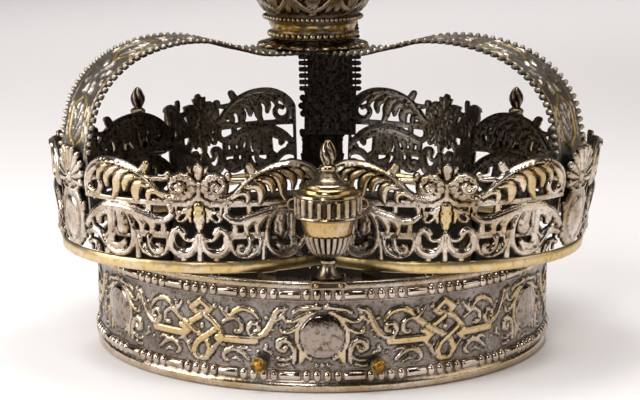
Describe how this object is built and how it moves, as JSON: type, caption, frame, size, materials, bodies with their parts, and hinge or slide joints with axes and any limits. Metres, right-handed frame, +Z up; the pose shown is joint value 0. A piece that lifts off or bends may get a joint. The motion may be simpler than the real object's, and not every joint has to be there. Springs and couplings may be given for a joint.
{
  "type": "torah crown",
  "caption": "Parcel-gilt silver torah crown: round strapwork base band, pierced trefoil gallery with covered urns, straps rising to a rosette and small crown.",
  "frame": {"origin": "middle of the overall box, at the base band's underside", "axes": "+Z up, -Y the front, where an urn stands between two gallery panels, +X to the right seen from the front"},
  "size_m": [0.245, 0.2538, 0.2014],
  "materials": {
    "silver": "cast and chased silver with gilded highlights, tarnished in the hollows",
    "base_band": "embossed silver sheet, oxidised ground with gilt strapwork",
    "dark_silver": "plain tarnished silver strip",
    "gilding": "worn mercury gilding on silver",
    "old_brass": "dark brass"
  },
  "bodies": {
    "root": {"base_ring": "base_band", "gallery_rim": "gilding", "gallery_panel_1": "silver", "gallery_panel_2": "silver", "gallery_panel_3": "silver", "gallery_panel_4": "silver", "gallery_panel_5": "silver", "gallery_panel_6": "silver", "shell_cartouche_1": "silver", "shell_cartouche_2": "silver", "shell_cartouche_3": "silver", "strap_1": "silver", "strap_2": "silver", "strap_3": "silver", "rosette": "silver", "small_crown": "silver", "crown_dome": "silver", "urn_1": "silver", "urn_2": "silver", "urn_3": "silver", "bracket_1": "dark_silver", "bracket_2": "dark_silver", "bracket_3": "dark_silver", "bracket_4": "dark_silver", "bracket_5": "dark_silver", "bracket_6": "dark_silver", "bolt_1": "old_brass", "bolt_2": "old_brass", "bolt_3": "old_brass", "bolt_4": "old_brass", "bolt_5": "old_brass", "bolt_6": "old_brass"}
  },
  "joints": []
}
